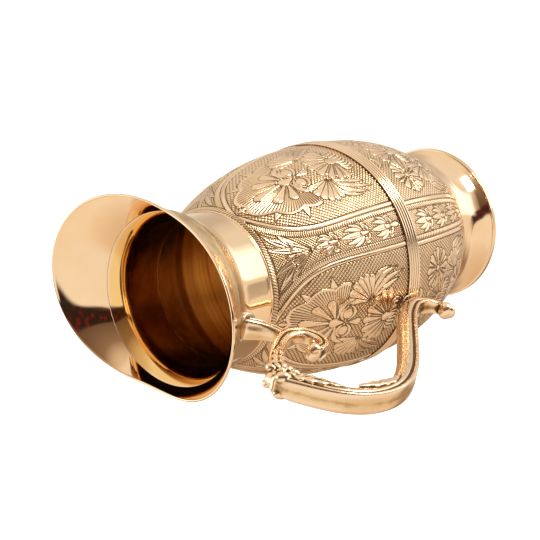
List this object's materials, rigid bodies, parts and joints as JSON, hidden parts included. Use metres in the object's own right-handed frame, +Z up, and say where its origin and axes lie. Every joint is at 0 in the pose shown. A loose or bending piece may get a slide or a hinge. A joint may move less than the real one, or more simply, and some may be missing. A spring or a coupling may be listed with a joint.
{
  "type": "jug",
  "caption": "Egg-shaped engraved brass jug with a flared foot, plain neck, oval pouring mouth and a cast scroll handle.",
  "frame": {"origin": "centre of the foot, on the plane the jug stands on", "axes": "+Z up the jug's axis to the mouth, +X towards the handle, -X towards the pouring lip"},
  "size_m": [0.2089, 0.133, 0.2659],
  "materials": {
    "polished_brass": "polished",
    "engraved_brass": "chased and engraved, dark patina in the cuts",
    "cast_brass": "cast, hand finished",
    "braze": "raw silver-grey braze"
  },
  "bodies": {
    "root": {"mouth": "polished_brass", "neck": "polished_brass", "upper_shell": "engraved_brass", "waist_band": "engraved_brass", "lower_shell": "engraved_brass", "foot_ring": "polished_brass", "base_plate": "polished_brass", "handle": "cast_brass", "handle_braze_upper": "braze", "handle_braze_lower": "braze"}
  },
  "joints": []
}
